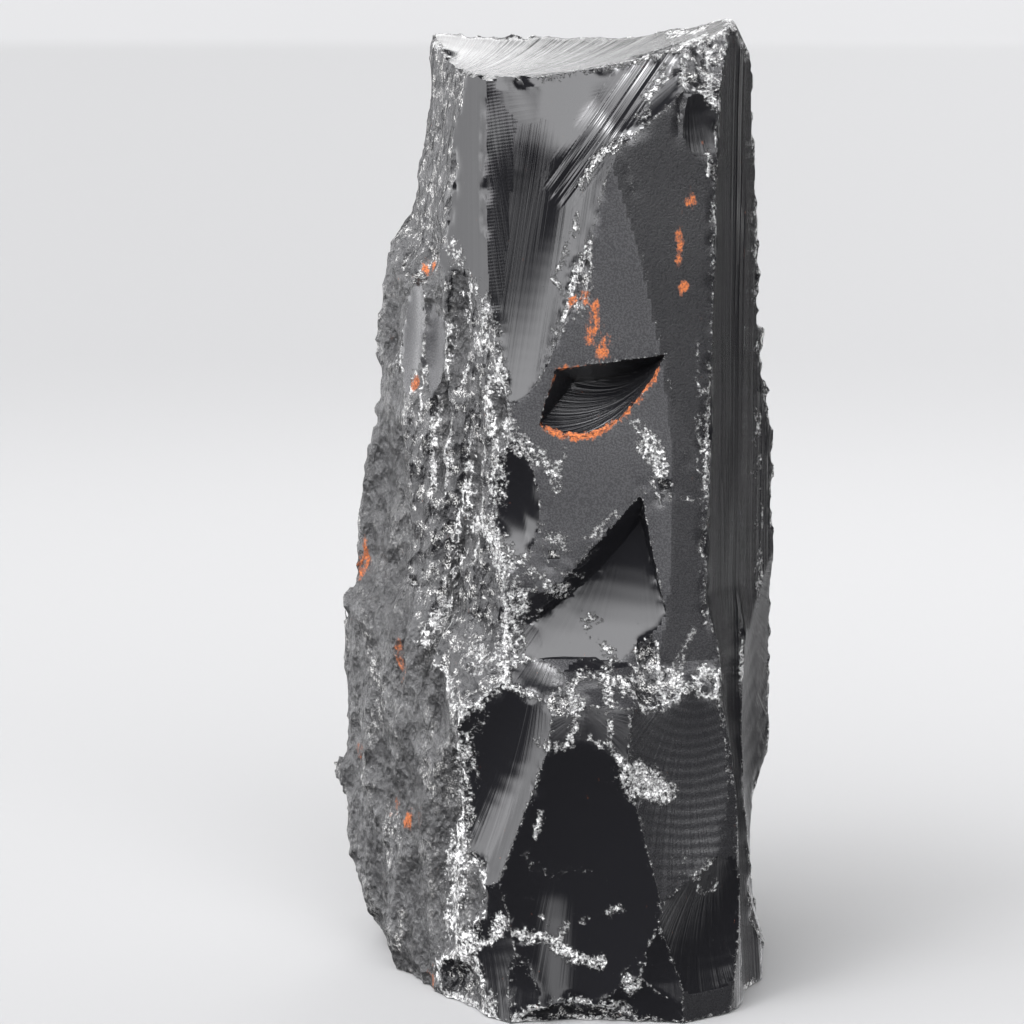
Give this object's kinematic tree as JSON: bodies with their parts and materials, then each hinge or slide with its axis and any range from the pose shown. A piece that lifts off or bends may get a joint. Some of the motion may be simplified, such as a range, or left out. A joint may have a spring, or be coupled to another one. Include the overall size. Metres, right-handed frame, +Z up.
{
  "type": "obsidian chunk",
  "caption": "Tall standing chunk of black volcanic glass with knapped scoops and flutes, a weathered rough flank and a flat foot.",
  "frame": {"origin": "centre of the stone's bounding box at floor level, on the flat foot", "axes": "+Z up along the stone's length, -Y out of the knapped front, +X to the right seen from the front"},
  "size_m": [0.1012, 0.0868, 0.2168],
  "materials": {
    "obsidian": "opaque black volcanic glass, glossy in the scars and rough on the weathered flank"
  },
  "bodies": {
    "root": {"obsidian_chunk": "obsidian"}
  },
  "joints": []
}
